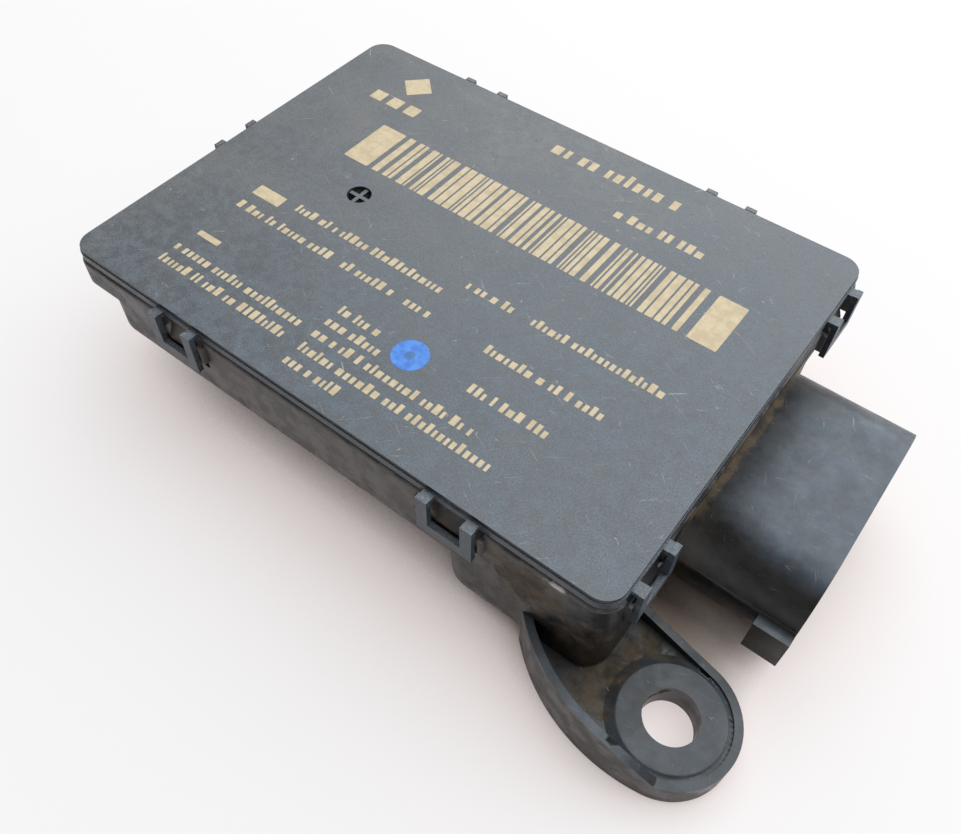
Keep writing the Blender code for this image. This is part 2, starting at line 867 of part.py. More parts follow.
electrolytic_radius = 4.0 * mm
electrolytic_length = 8.5 * mm
electrolytic_places = ((0.845, 0.16), (0.845, 0.84))
antenna_inset = 3.0 * mm
antenna_end_inset = 13.7 * mm
antenna_rise = 4.2 * mm
antenna_wire = 0.5 * mm
antenna_bend = 2.0 * mm


def on_board(along, across):
    """A place on the board, from its shares of the board's length and width."""
    return board_left + along * (board_right - board_left), board_front + across * (board_back - board_front)


def make_board_blocks():
    for name, along, across, length, width, height, corner, surface in board_blocks:
        x, y = on_board(along, across)
        low = (x - length * mm / 2, y - width * mm / 2, part_height)
        high = (x + length * mm / 2, y + width * mm / 2, part_height + height * mm)
        block(name, low, high, parts, surface, corner=corner * mm, steps=3)


def make_shielded_chips():
    """The receiver and its filter stand side by side, with the pair centred under the can."""
    x, y = on_board(*can_place)
    total = filter_side + can_chip_gap + receiver_side
    left = x - total / 2
    for name, start, side, height, surface in (
        ("saw_filter", left, filter_side, filter_height, can_tin),
        ("radio_receiver", left + filter_side + can_chip_gap, receiver_side, receiver_height, chip_black),
    ):
        low = (start, y - side / 2, part_height)
        high = (start + side, y + side / 2, part_height + height)
        block(name, low, high, parts, surface, corner=seat_gap, steps=3)


def make_shield_can():
    inside = helper_collection("can_inside")
    x, y = on_board(*can_place)
    half_x = can_size[0] / 2
    half_y = can_size[1] / 2
    low = (x - half_x, y - half_y, part_height)
    high = (x + half_x, y + half_y, part_height + can_height)
    can = block("shield_can", low, high, parts, can_tin)
    low = (x - half_x + can_wall, y - half_y + can_wall, part_height - can_wall)
    high = (x + half_x - can_wall, y + half_y - can_wall, part_height + can_height - can_wall)
    block("can_hollow", low, high, inside)
    combine(can, "DIFFERENCE", inside)


def make_electrolytics():
    """Upright cans hanging from the board's underside into the pod, with the groove of a crimped case."""
    for number, shares in enumerate(electrolytic_places, 1):
        x, y = on_board(*shares)
        radius = electrolytic_radius
        waist = radius - can_wall
        profile = [
            (0.0, 0.0),
            (radius, 0.0),
            (radius, -1.2 * mm),
            (waist, -1.6 * mm),
            (radius, -2.0 * mm),
            (radius, can_wall - electrolytic_length),
            (radius - can_wall, -electrolytic_length),
            (0.0, -electrolytic_length),
        ]
        name = f"smoothing_capacitor_{number}"
        turned(name, profile, x, y, board_height - seat_gap, parts, sleeve_dark)


def make_antenna():
    """A loop of stiff wire standing on the board's left end."""
    top = part_height + antenna_rise
    bend = antenna_bend
    front = board_front + antenna_end_inset
    back = board_back - antenna_end_inset
    path = [(front, part_height)]
    path += list(arc((front + bend, top - bend), bend, math.pi, math.pi / 2, 4))
    path += list(arc((back - bend, top - bend), bend, math.pi / 2, 0.0, 4))
    path += [(back, part_height)]
    curve = bpy.data.curves.new("antenna_loop", "CURVE")
    curve.dimensions = "3D"
    curve.bevel_depth = antenna_wire
    curve.bevel_resolution = 2
    curve.use_fill_caps = True
    line = curve.splines.new("POLY")
    line.points.add(len(path) - 1)
    for point, (y, z) in zip(line.points, path):
        point.co = (0.0, y, z, 1.0)
    curve.materials.append(antenna_copper)
    made = bpy.data.objects.new("antenna_loop", curve)
    made.location = (board_left + antenna_inset, 0.0, 0.0)
    made.parent = frame
    parts.objects.link(made)


make_lid()
make_gasket()
make_membrane()
make_base()
make_board()
make_screws()
make_header()
make_pins()
make_board_blocks()
make_shielded_chips()
make_shield_can()
make_electrolytics()
make_antenna()
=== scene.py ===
import json
import math
import random

import bpy
from mathutils import Matrix, Vector


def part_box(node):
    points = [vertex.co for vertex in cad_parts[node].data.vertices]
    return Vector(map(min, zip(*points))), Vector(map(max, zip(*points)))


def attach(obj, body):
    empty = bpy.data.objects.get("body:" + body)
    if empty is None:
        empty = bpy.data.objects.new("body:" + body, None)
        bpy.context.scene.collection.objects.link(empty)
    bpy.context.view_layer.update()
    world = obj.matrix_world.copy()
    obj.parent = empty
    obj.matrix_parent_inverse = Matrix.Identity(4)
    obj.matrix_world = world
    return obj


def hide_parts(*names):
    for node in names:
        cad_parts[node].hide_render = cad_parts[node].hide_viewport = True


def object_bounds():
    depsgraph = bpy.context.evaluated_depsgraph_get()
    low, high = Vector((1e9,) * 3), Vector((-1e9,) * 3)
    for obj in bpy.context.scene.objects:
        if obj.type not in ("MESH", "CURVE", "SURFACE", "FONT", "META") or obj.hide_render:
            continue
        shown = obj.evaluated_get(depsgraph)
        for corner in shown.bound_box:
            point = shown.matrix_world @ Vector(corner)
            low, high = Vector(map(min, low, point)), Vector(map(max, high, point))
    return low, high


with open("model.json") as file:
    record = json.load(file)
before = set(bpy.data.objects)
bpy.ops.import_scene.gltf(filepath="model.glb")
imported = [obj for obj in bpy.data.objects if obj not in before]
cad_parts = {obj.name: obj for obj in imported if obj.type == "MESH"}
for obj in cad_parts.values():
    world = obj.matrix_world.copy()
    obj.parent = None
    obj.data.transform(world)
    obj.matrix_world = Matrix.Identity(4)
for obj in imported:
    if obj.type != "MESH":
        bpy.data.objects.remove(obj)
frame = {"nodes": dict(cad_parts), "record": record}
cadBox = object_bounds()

mm = 0.001
touching = 0.001 * mm  # places closer than this are the same
nodes = frame["nodes"]
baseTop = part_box("base_housing")[1].z
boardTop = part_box("circuit_board")[1].z
lidLow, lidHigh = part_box("lid")
loopProud = 2.0 * mm  # the snap loops stand this far outside the lid's edge
lidCorner = Vector((lidLow.x + loopProud, lidLow.y + loopProud, lidHigh.z))  # front left, on top

openings = {opening["name"]: opening["box_m"] for opening in frame["record"]["physics"]["openings"]}
earHole = (Vector(openings["ear_hole"][0]) + Vector(openings["ear_hole"][1])) / 2
earHole.z = 0.0

# how the CAD's own meshes are cleaned and rounded: lengths in metres, angles in degrees
refining = {
    "merge": 0.002 * mm,
    "flat": 0.6,
    "rounded": 30.0,
    "smooth": 40.0,
    "upright": 0.9,  # a face looks up or down when its normal's height is past this
}


def onLid(x, y, below=0.0):
    return lidCorner + Vector((x * mm, y * mm, -below * mm))


def pick(piece):
    if bpy.context.object and bpy.context.object.mode != "OBJECT":
        bpy.ops.object.mode_set(mode="OBJECT")
    bpy.ops.object.select_all(action="DESELECT")
    piece.select_set(True)
    bpy.context.view_layer.objects.active = piece


def editAll(piece):
    pick(piece)
    bpy.ops.object.mode_set(mode="EDIT")
    bpy.ops.mesh.select_all(action="SELECT")


def objectMode():
    bpy.ops.object.mode_set(mode="OBJECT")


def selectFaces(piece, test):
    editAll(piece)
    bpy.ops.mesh.select_mode(type="FACE")
    bpy.ops.mesh.select_all(action="DESELECT")
    objectMode()
    for face in piece.data.polygons:
        face.select = test(face)
    bpy.ops.object.mode_set(mode="EDIT")


def selectEdges(piece, test):
    editAll(piece)
    bpy.ops.mesh.select_mode(type="EDGE")
    bpy.ops.mesh.select_all(action="DESELECT")
    objectMode()
    points = piece.data.vertices
    for edge in piece.data.edges:
        edge.select = test(points[edge.vertices[0]].co, points[edge.vertices[1]].co)
    bpy.ops.object.mode_set(mode="EDIT")


def settle(piece):
    pick(piece)
    bpy.ops.object.transform_apply(location=True, rotation=True, scale=True)
    return piece


def applyModifiers(piece):
    pick(piece)
    for modifier in list(piece.modifiers):
        bpy.ops.object.modifier_apply(modifier=modifier.name)


def smoothByAngle(piece, degrees):
    pick(piece)
    bpy.ops.object.shade_smooth_by_angle(angle=math.radians(degrees))


def looksUp(face):
    return face.normal.z > refining["upright"]


def looksDown(face):
    return face.normal.z < -refining["upright"]


def roundEdges(piece, width, segments=2):
    bevel = piece.modifiers.new("edgeRound", "BEVEL")
    bevel.width = width
    bevel.segments = segments
    bevel.limit_method = "ANGLE"
    bevel.angle_limit = math.radians(refining["rounded"])
    bevel.use_clamp_overlap = True
    bevel.miter_outer = "MITER_ARC"
    applyModifiers(piece)


def addBox(name, low, high):
    low = Vector(low)
    high = Vector(high)
    bpy.ops.mesh.primitive_cube_add(size=1.0, location=(low + high) / 2)
    piece = bpy.context.object
    piece.name = name
    piece.scale = high - low
    return settle(piece)


def addRod(name, centre, radius, height, sides):
    bpy.ops.mesh.primitive_cylinder_add(vertices=sides, radius=radius, depth=height, location=centre)
    piece = bpy.context.object
    piece.name = name
    return settle(piece)


def joinAll(pieces, name):
    pick(pieces[0])
    for piece in pieces[1:]:
        piece.select_set(True)
    bpy.ops.object.join()
    pieces[0].name = name
    return settle(pieces[0])


def copyOf(piece, name, move, stretch=(1.0, 1.0, 1.0)):
    made = piece.copy()
    made.data = piece.data.copy()
    made.name = name
    bpy.context.scene.collection.objects.link(made)
    made.location = Vector(move)
    made.scale = Vector(stretch)
    return made


def mergeDoubles():
    bpy.ops.mesh.remove_doubles(threshold=refining["merge"])


def refinedCopy(nodeName, name, width, flat=None):
    mesh = nodes[nodeName].data.copy()
    mesh.materials.clear()
    piece = bpy.data.objects.new(name, mesh)
    bpy.context.scene.collection.objects.link(piece)
    editAll(piece)
    mergeDoubles()
    bpy.ops.mesh.dissolve_limited(angle_limit=math.radians(refining["flat"]))
    bpy.ops.mesh.normals_make_consistent(inside=False)
    objectMode()
    roundEdges(piece, width)
    editAll(piece)
    mergeDoubles()
    objectMode()
    smoothByAngle(piece, refining["smooth"])
    if flat:
        # where flat(corner) is true, big faces keep their own shading beside narrow rounds
        corners = [corner.index for corner in piece.data.vertices if flat(corner.co)]
        group = piece.vertex_groups.new(name="flat")
        group.add(corners, 1.0, "REPLACE")
        flatter = piece.modifiers.new("flatter", "WEIGHTED_NORMAL")
        flatter.vertex_group = group.name
        flatter.keep_sharp = True
        applyModifiers(piece)
        piece.vertex_groups.clear()
    return piece


def cutBy(piece, *cutters):
    for cutter in cutters:
        cut = piece.modifiers.new("cut", "BOOLEAN")
        cut.object = cutter
        cut.solver = "EXACT"
        applyModifiers(piece)
        bpy.data.objects.remove(cutter)


def finish(piece, material, body, slotName, *replaced):
    piece.data.materials.clear()
    piece.data.materials.append(material)
    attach(piece, body)
    if replaced:
        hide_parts(*replaced)


def setSocket(tree, socket, value):
    if isinstance(value, bpy.types.NodeSocket):
        tree.links.new(value, socket)
    else:
        socket.default_value = value


def addNode(tree, kind, settings=None, **inputs):
    # an input is given by its name, or as n and its number
    node = tree.nodes.new("ShaderNode" + kind)
    for key, value in (settings or {}).items():
        setattr(node, key, value)
    for key, value in inputs.items():
        place = int(key[1:]) if key[1:].isdigit() else key.replace("_", " ")
        setSocket(tree, node.inputs[place], value)
    return node


def useGroup(tree, group, **inputs):
    return addNode(tree, "Group", {"node_tree": group}, **inputs)


def mathNode(tree, operation, *values):
    node = addNode(tree, "Math", {"operation": operation})
    for socket, value in zip(node.inputs, values):
        setSocket(tree, socket, value)
    return node.outputs[0]


def remap(tree, value, low, high, toLow=0.0, toHigh=1.0):
    node = addNode(
        tree, "MapRange", {"interpolation_type": "SMOOTHSTEP"},
        Value=value, From_Min=low, From_Max=high, To_Min=toLow, To_Max=toHigh,
    )
    return node.outputs["Result"]


def mixColour(tree, factor, *colours):
    # a mix of colours takes them at inputs 6 and 7, and gives its result at output 2
    node = addNode(tree, "Mix", {"data_type": "RGBA"}, n0=factor)
    for socket, colour in zip(node.inputs[6:8], colours):
        isSocket = isinstance(colour, bpy.types.NodeSocket)
        setSocket(tree, socket, colour if isSocket else (*colour, 1.0))
    return node.outputs[2]


def newGroup(name, inputs, outputs):
    group = bpy.data.node_groups.new(name, "ShaderNodeTree")
    for socketName, kind in inputs.items():
        socketType = "NodeSocket" + kind
        group.interface.new_socket(name=socketName, in_out="INPUT", socket_type=socketType)
    for socketName in outputs:
        group.interface.new_socket(name=socketName, in_out="OUTPUT", socket_type="NodeSocketFloat")
    start = group.nodes.new("NodeGroupInput").outputs
    end = group.nodes.new("NodeGroupOutput").inputs
    return group, start, end


# In every look, a range gives a pattern's two limits. Where it has four numbers, the last two are
# what comes out at those limits, and otherwise that is 0 and 1.

# cloudy patches, fine moulding grain and specks
mottleLook = {
    "patchDetail": 5.0,
    "patchRoughness": 0.6,
    "patchRange": (0.36, 0.64),
    "grainDetail": 3.0,
    "grainRoughness": 0.65,
    "specksPerPatch": 3.0,
    "speckRange": (0.12, 0.04),
}


def makeMottle():
    look = mottleLook
    group, start, end = newGroup(
        "mouldedMottle",
        {"Vector": "Vector", "Patch Scale": "Float", "Grain Scale": "Float"},
        ["Patches", "Grain", "Specks"],
    )
    big = addNode(
        group, "TexNoise", Vector=start["Vector"], Scale=start["Patch Scale"],
        Detail=look["patchDetail"], Roughness=look["patchRoughness"],
    )
    grain = addNode(
        group, "TexNoise", Vector=start["Vector"], Scale=start["Grain Scale"],
        Detail=look["grainDetail"], Roughness=look["grainRoughness"],
    )
    speckScale = mathNode(group, "MULTIPLY", start["Patch Scale"], look["specksPerPatch"])
    speck = addNode(group, "TexVoronoi", Vector=start["Vector"], Scale=speckScale)
    group.links.new(remap(group, big.outputs[0], *look["patchRange"]), end["Patches"])
    group.links.new(grain.outputs[0], end["Grain"])
    group.links.new(remap(group, speck.outputs["Distance"], *look["speckRange"]), end["Specks"])
    return group


# short pale hairlines: further turn in radians and stretch of each of two crossing directions
scratchLook = {
    "directions": ((0.0, 7.0), (1.9, 9.0)),
    "lineRange": (0.016, 0.003),
    "patchScale": 1.3,
    "patchRange": (0.62, 0.69),
}


def makeScratches():
    look = scratchLook
    group, start, end = newGroup(
        "hairScratches",
        {"Vector": "Vector", "Scale": "Float", "Turn": "Float"},
        ["Scratches"],
    )
    masks = []
    for extra, stretch in look["directions"]:
        angle = mathNode(group, "ADD", start["Turn"], extra)
        turned = addNode(
            group, "VectorRotate", {"rotation_type": "Z_AXIS"}, Vector=start["Vector"], Angle=angle
        )
        squeeze = addNode(group, "Mapping", Vector=turned.outputs[0], Scale=(1.0, stretch, 1.0))
        cells = addNode(
            group, "TexVoronoi", {"feature": "DISTANCE_TO_EDGE"},
            Vector=squeeze.outputs[0], Scale=start["Scale"],
        )
        line = remap(group, cells.outputs["Distance"], *look["lineRange"])
        patchScale = mathNode(group, "MULTIPLY", start["Scale"], look["patchScale"])
        patch = addNode(group, "TexNoise", Vector=squeeze.outputs[0], Scale=patchScale)
        patchy = remap(group, patch.outputs[0], *look["patchRange"])
        masks.append(mathNode(group, "MULTIPLY", line, patchy))
    group.links.new(mathNode(group, "MAXIMUM", *masks), end["Scratches"])
    return group


# dust together with painted sheen on faces that look up: these faces are made paler, as the light from
# above makes them look
dustAndSheenLook = {
    "facingRange": (0.70, 0.93),
    "cloudDetail": 6.0,
    "cloudRoughness": 0.7,
    "cloudRange": (0.3, 0.75, 0.45, 1.0),
}


def makeDust():
    look = dustAndSheenLook
    group, start, end = newGroup(
        "settledDust",
        {"Vector": "Vector", "Normal": "Vector", "Scale": "Float", "Amount": "Float"},
        ["Dust"],
    )
    split = addNode(group, "SeparateXYZ", Vector=start["Normal"])
    facing = remap(group, split.outputs["Z"], *look["facingRange"])
    cloud = addNode(
        group, "TexNoise", Vector=start["Vector"], Scale=start["Scale"],
        Detail=look["cloudDetail"], Roughness=look["cloudRoughness"],
    )
    cover = mathNode(group, "MULTIPLY", facing, remap(group, cloud.outputs[0], *look["cloudRange"]))
    group.links.new(mathNode(group, "MULTIPLY", cover, start["Amount"]), end["Dust"])
    return group


# a soft patch round one place: the cloud breaks up its edge
grimeLook = {
    "cloudScale": 420.0,
    "cloudDetail": 6.0,
    "cloudRoughness": 0.7,
    "cloudRange": (0.25, 0.75, 0.35, -0.35),
    "edgeRange": (1.0, 0.35),
}


def makeGrime():
    look = grimeLook
    group, start, end = newGroup(
        "grimePatch",
        {"Vector": "Vector", "Centre": "Vector", "Stretch": "Vector", "Radius": "Float", "Amount": "Float"},
        ["Grime"],
    )

    def vectorMath(operation, **vectors):
        return addNode(group, "VectorMath", {"operation": operation}, **vectors)

    offset = vectorMath("SUBTRACT", n0=start["Vector"], n1=start["Centre"])
    squeezed = vectorMath("MULTIPLY", n0=offset.outputs[0], n1=start["Stretch"])
    away = vectorMath("LENGTH", n0=squeezed.outputs[0])
    share = mathNode(group, "DIVIDE", away.outputs["Value"], start["Radius"])
    cloud = addNode(
        group, "TexNoise", Vector=start["Vector"], Scale=look["cloudScale"],
        Detail=look["cloudDetail"], Roughness=look["cloudRoughness"],
    )
    rough = mathNode(group, "ADD", share, remap(group, cloud.outputs[0], *look["cloudRange"]))
    mask = remap(group, rough, *look["edgeRange"])
    group.links.new(mathNode(group, "MULTIPLY", mask, start["Amount"]), end["Grime"])
    return group


mottleGroup = makeMottle()
scratchGroup = makeScratches()
dustAndSheenGroup = makeDust()
grimeGroup = makeGrime()
print("node groups made")


def newMaterial(name):
    material = bpy.data.materials.new(name)
    material.use_nodes = True
    tree = material.node_tree
    place = tree.nodes.new("ShaderNodeTexCoord").outputs
    return material, tree, tree.nodes["Principled BSDF"], place


def useMottle(tree, vector, scales):
    patchScale, grainScale = scales
    return useGroup(
        tree, mottleGroup, Vector=vector, Patch_Scale=patchScale, Grain_Scale=grainScale
    ).outputs


def useScratches(tree, vector, scale, turn):
    return useGroup(tree, scratchGroup, Vector=vector, Scale=scale, Turn=turn).outputs["Scratches"]


def useDust(tree, place, scale, amount):
    return useGroup(
        tree, dustAndSheenGroup, Vector=place["Object"], Normal=place["Normal"], Scale=scale, Amount=amount
    ).outputs["Dust"]


def useGrime(tree, vector, centre, stretch, radius, amount):
    return useGroup(
        tree, grimeGroup, Vector=vector, Centre=centre, Stretch=stretch, Radius=radius * mm, Amount=amount
    ).outputs["Grime"]


def heightOf(tree, vector):
    return addNode(tree, "SeparateXYZ", Vector=vector).outputs["Z"]


def addBump(tree, shader, height, strength, distance):
    bump = addNode(tree, "Bump", Height=height, Strength=strength, Distance=distance * mm)
    tree.links.new(bump.outputs[0], shader.inputs["Normal"])


lidLook = {
    "plain": (0.078, 0.108, 0.140),
    "deep": (0.034, 0.050, 0.068),
    "sheenGrey": (0.132, 0.132, 0.132),
    "olive": (0.052, 0.058, 0.050),
    # colour of the dark grain, and of the painted shade on the top plate's side
    "edge": (0.012, 0.012, 0.013),
    "dustAndSheen": (0.24, 0.25, 0.26),
    "scratch": (0.42, 0.43, 0.44),
    "roughness": (0.38, 0.54),
    "sheen": 1.52,
    "fineScales": (620.0, 4200.0),
    "wideScales": (75.0, 1500.0),
    "hairlines": (120.0, 0.5),  # scale and turn
    "settled": (90.0, 0.14),  # scale and amount of dust and painted sheen
    "slant": 0.7,  # the painted sheen lies on the left and back
    "sheenRange": (-0.02, 0.05, 0.05, 0.75),
    "cloudRange": (0.0, 1.0, 0.55, 1.0),
    "oliveRange": (0.52, 0.68, 0.0, 0.5),
    "darkGrainRange": (0.50, 0.30, 0.0, 0.55),
    "paleGrainRange": (0.54, 0.76, 0.0, 0.30),
    "hairlineRange": (0.4, 0.8, 0.0, 0.55),
    "specks": 0.22,
    "shadedPlateSide": (0.85, 0.65),  # mm below the top
    "shadedSideRange": (0.75, 0.35),
    "shadedSideAmount": 0.9,
    "bump": (0.35, 0.04),  # strength, and height in mm
}


def makeLidPlastic():
    look = lidLook
    material, tree, shader, place = newMaterial("lidPlastic")
    vector = place["Object"]
    mottle = useMottle(tree, vector, look["fineScales"])
    wide = useMottle(tree, vector, look["wideScales"])
    scratches = useScratches(tree, vector, *look["hairlines"])
    dustAndSheen = useDust(tree, place, *look["settled"])
    colour = mixColour(tree, mottle["Patches"], look["deep"], look["plain"])
    # painted sheen: in clouds the lid is greyer towards the left and back, standing in for the light it
    # reflects there; then olive clouds
    spread = addNode(tree, "SeparateXYZ", Vector=vector).outputs
    leftward = mathNode(tree, "MULTIPLY", spread["X"], -look["slant"])
    along = mathNode(tree, "MULTIPLY_ADD", spread["Y"], look["slant"], leftward)
    paintedSheen = remap(tree, along, *look["sheenRange"])
    cloudy = remap(tree, wide["Patches"], *look["cloudRange"])
    colour = mixColour(tree, mathNode(tree, "MULTIPLY", paintedSheen, cloudy), colour, look["sheenGrey"])
    colour = mixColour(tree, remap(tree, wide["Grain"], *look["oliveRange"]), colour, look["olive"])
    # dust and painted sheen on faces that look up
    colour = mixColour(tree, dustAndSheen, colour, look["dustAndSheen"])
    height = heightOf(tree, vector)
    facing = heightOf(tree, place["Normal"])
    darkGrain = remap(tree, mottle["Grain"], *look["darkGrainRange"])
    colour = mixColour(tree, darkGrain, colour, look["edge"])
    paleGrain = remap(tree, mottle["Grain"], *look["paleGrainRange"])
    colour = mixColour(tree, paleGrain, colour, look["scratch"])
    # hairlines show only where the plastic looks up
    marks = mathNode(tree, "MULTIPLY", scratches, remap(tree, facing, *look["hairlineRange"]))
    colour = mixColour(tree, marks, colour, look["scratch"])
    specks = mathNode(tree, "MULTIPLY", mottle["Specks"], look["specks"])
    colour = mixColour(tree, specks, colour, look["scratch"])
    # painted shade: the top plate's side face is darkened to black above the paler flange
    shadedPlateSide = remap(tree, height, *(lidHigh.z - below * mm for below in look["shadedPlateSide"]))
    side = mathNode(tree, "MULTIPLY", shadedPlateSide, remap(tree, facing, *look["shadedSideRange"]))
    side = mathNode(tree, "MULTIPLY", side, look["shadedSideAmount"])
    colour = mixColour(tree, side, colour, look["edge"])
    tree.links.new(colour, shader.inputs["Base Color"])
    roughness = remap(tree, mottle["Patches"], 0.0, 1.0, *look["roughness"])
    tree.links.new(roughness, shader.inputs["Roughness"])
    shader.inputs["IOR"].default_value = look["sheen"]
    addBump(tree, shader, mottle["Grain"], *look["bump"])
    return material


baseLook = {
    "plain": (0.009, 0.0088, 0.0084),
    "pale": (0.017, 0.017, 0.017),
    # pale bluish dust, which also serves as painted sheen on faces that look up
    "dustAndSheen": (0.088, 0.117, 0.150),
    "wall": (0.075, 0.070, 0.066),
    # colour of the painted highlight on the rim's rounded top edge
    "rimHighlight": (0.15, 0.145, 0.14),
    # palest colour, for the painted highlight near the rim's corner
    "glint": (0.62, 0.60, 0.58),
    "ochre": (0.098, 0.068, 0.038),
    "brown": (0.026, 0.022, 0.016),
    "scratch": (0.42, 0.43, 0.44),
    "roughness": (0.32, 0.48),
    "sheen": 1.45,
    "scales": (320.0, 3800.0),
    "hairlines": (140.0, 1.1),  # scale and turn
    "settled": (240.0, 0.95),  # scale and amount of dust and painted sheen
    "lowDust": (4.0, 19.0),  # heights in mm between which the dust and painted sheen thicken
    "lowDustAmounts": (0.50, 1.0),
    "soil": 0.92,
    "soilRoughness": 0.8,
    "rimEdge": (0.75, 0.25),  # mm below the rim's top
    "highlightRange": (0.25, 0.9, 0.2, 0.7),
    "paleGrainRange": (0.58, 0.80, 0.0, 0.10),
    "hairlineRange": (0.4, 0.8, 0.0, 0.35),
    "bump": (0.35, 0.04),  # strength, and height in mm
}

# middle of each dirty place from the lid's corner in mm, its stretch, its radius in mm and its strength
dirtyPlaces = [
    ((100.5, 34.0, -4.0), (1.2, 0.06, 0.6), 1.6, 0.9),
    ((101.0, 18.0, -9.0), (0.7, 0.6, 0.4), 2.8, 0.45),
    ((88.0, -0.3, -7.5), (0.5, 1.0, 0.5), 4.2, 0.9),
    ((97.0, 0.5, -14.0), (0.8, 0.8, 0.55), 4.5, 0.75),
    ((101.5, 2.0, -21.4), (0.75, 0.75, 5.0), 8.5, 1.0),
    ((104.0, 8.0, -21.4), (0.7, 1.0, 5.0), 6.5, 1.0),
    ((30.0, -0.5, -5.0), (0.25, 1.0, 0.8), 3.0, 0.55),
    ((76.0, -0.5, -4.5), (0.35, 1.0, 0.8), 3.4, 0.75),
    ((100.5, 66.0, -4.0), (1.0, 0.35, 0.8), 3.0, 0.7),
]
# dusty, paler stretches of the walls, given in the same way; the last one, along the collar's far edge, is
# a painted reflection
paleWallsAndCollarSheen = [
    ((40.0, -0.4, -6.0), (0.08, 1.0, 0.55), 5.0, 0.9),
    ((-0.4, 36.0, -4.0), (1.0, 0.12, 0.8), 5.0, 0.8),
    ((50.0, 73.6, -5.0), (0.08, 1.0, 0.8), 5.0, 0.8),
    ((114.0, 55.0, -6.0), (0.30, 0.8, 0.6), 3.6, 1.0),
]
# a painted highlight on the rim's rounded top near the front right corner, given in the same way
rimGlints = [((92.5, -0.8, -2.6), (0.24, 1.0, 1.0), 0.85, 0.95)]


def makeBasePlastic():
    look = baseLook
    material, tree, shader, place = newMaterial("basePlastic")
    vector = place["Object"]
    mottle = useMottle(tree, vector, look["scales"])
    scratches = useScratches(tree, vector, *look["hairlines"])
    dustAndSheen = useDust(tree, place, *look["settled"])
    colour = mixColour(tree, mottle["Patches"], look["plain"], look["pale"])
    # low down, less dust and painted sheen is laid on
    height = heightOf(tree, vector)
    high = remap(tree, height, *(level * mm for level in look["lowDust"]), *look["lowDustAmounts"])
    colour = mixColour(tree, mathNode(tree, "MULTIPLY", dustAndSheen, high), colour, look["dustAndSheen"])

    def patches(places):
        total = None
        for spot, stretch, radius, amount in places:
            patch = useGrime(tree, vector, lidCorner + Vector(spot) * mm, stretch, radius, amount)
            total = patch if total is None else mathNode(tree, "MAXIMUM", total, patch)
        return total

    # pale walls, and painted reflection along the collar's far edge
    colour = mixColour(tree, patches(paleWallsAndCollarSheen), colour, look["wall"])
    soiled = patches(dirtyPlaces)
    soil = mixColour(tree, mottle["Patches"], look["brown"], look["ochre"])
    colour = mixColour(tree, mathNode(tree, "MULTIPLY", soiled, look["soil"]), colour, soil)
    # painted highlight: the rim's rounded top edge is made pale in patches
    paintedRimHighlight = remap(tree, height, *(baseTop - below * mm for below in look["rimEdge"]))
    paintedRimHighlight = mathNode(tree, "MULTIPLY", paintedRimHighlight, remap(tree, mottle["Patches"], *look["highlightRange"]))
    colour = mixColour(tree, paintedRimHighlight, colour, look["rimHighlight"])
    # painted highlight near the rim's front right corner
    colour = mixColour(tree, patches(rimGlints), colour, look["glint"])
    facing = heightOf(tree, place["Normal"])
    paleGrain = remap(tree, mottle["Grain"], *look["paleGrainRange"])
    colour = mixColour(tree, paleGrain, colour, look["scratch"])
    # hairlines show only where the plastic looks up
    marks = mathNode(tree, "MULTIPLY", scratches, remap(tree, facing, *look["hairlineRange"]))
    colour = mixColour(tree, marks, colour, look["scratch"])
    tree.links.new(colour, shader.inputs["Base Color"])
    rough = remap(tree, mottle["Patches"], 0.0, 1.0, *look["roughness"])
    soiledRough = mathNode(tree, "MULTIPLY", soiled, look["soilRoughness"])
    rough = mathNode(tree, "MAXIMUM", rough, soiledRough)
    tree.links.new(rough, shader.inputs["Roughness"])
    shader.inputs["IOR"].default_value = look["sheen"]
    addBump(tree, shader, mottle["Grain"], *look["bump"])
    return material


# plain colour, second colour, patch scale, roughness range, metallic, bump
smallLooks = {
    "markTan": ((0.47, 0.385, 0.245), (0.57, 0.475, 0.32), 700.0, (0.55, 0.75), 0.0, 0.10),
    "gasketRubber": ((0.018, 0.018, 0.018), (0.030, 0.030, 0.029), 500.0, (0.70, 0.90), 0.0, 0.30),
    "membraneCloth": ((0.62, 0.62, 0.58), (0.74, 0.74, 0.70), 1800.0, (0.75, 0.90), 0.0, 0.60),
    "chipResin": ((0.016, 0.016, 0.018), (0.028, 0.028, 0.030), 700.0, (0.40, 0.60), 0.0, 0.35),
    "tinPlate": ((0.56, 0.55, 0.52), (0.72, 0.71, 0.68), 400.0, (0.22, 0.42), 1.0, 0.10),
    "brightZinc": ((0.55, 0.55, 0.54), (0.70, 0.70, 0.69), 600.0, (0.25, 0.45), 1.0, 0.15),
    "copperWire": ((0.62, 0.30, 0.16), (0.76, 0.42, 0.26), 700.0, (0.22, 0.40), 1.0, 0.10),
    "ferriteCore": ((0.060, 0.060, 0.062), (0.100, 0.100, 0.102), 900.0, (0.55, 0.75), 0.0, 0.50),
    "tantalumCase": ((0.62, 0.29, 0.05), (0.72, 0.38, 0.08), 600.0, (0.40, 0.55), 0.0, 0.15),
    "sleeveFoil": ((0.022, 0.022, 0.040), (0.035, 0.035, 0.060), 300.0, (0.25, 0.40), 0.0, 0.05),
    "headerPlastic": ((0.014, 0.014, 0.015), (0.026, 0.026, 0.027), 400.0, (0.45, 0.60), 0.0, 0.30),
    "bandBrown": ((0.16, 0.055, 0.012), (0.20, 0.075, 0.018), 900.0, (0.45, 0.60), 0.0, 0.10),
}
grainPerPatch = 7  # the grain's scale is this many times the patches'
grainRange = (0.3, 0.7)  # most of the grain lies between these
smallBump = 0.03  # height in mm


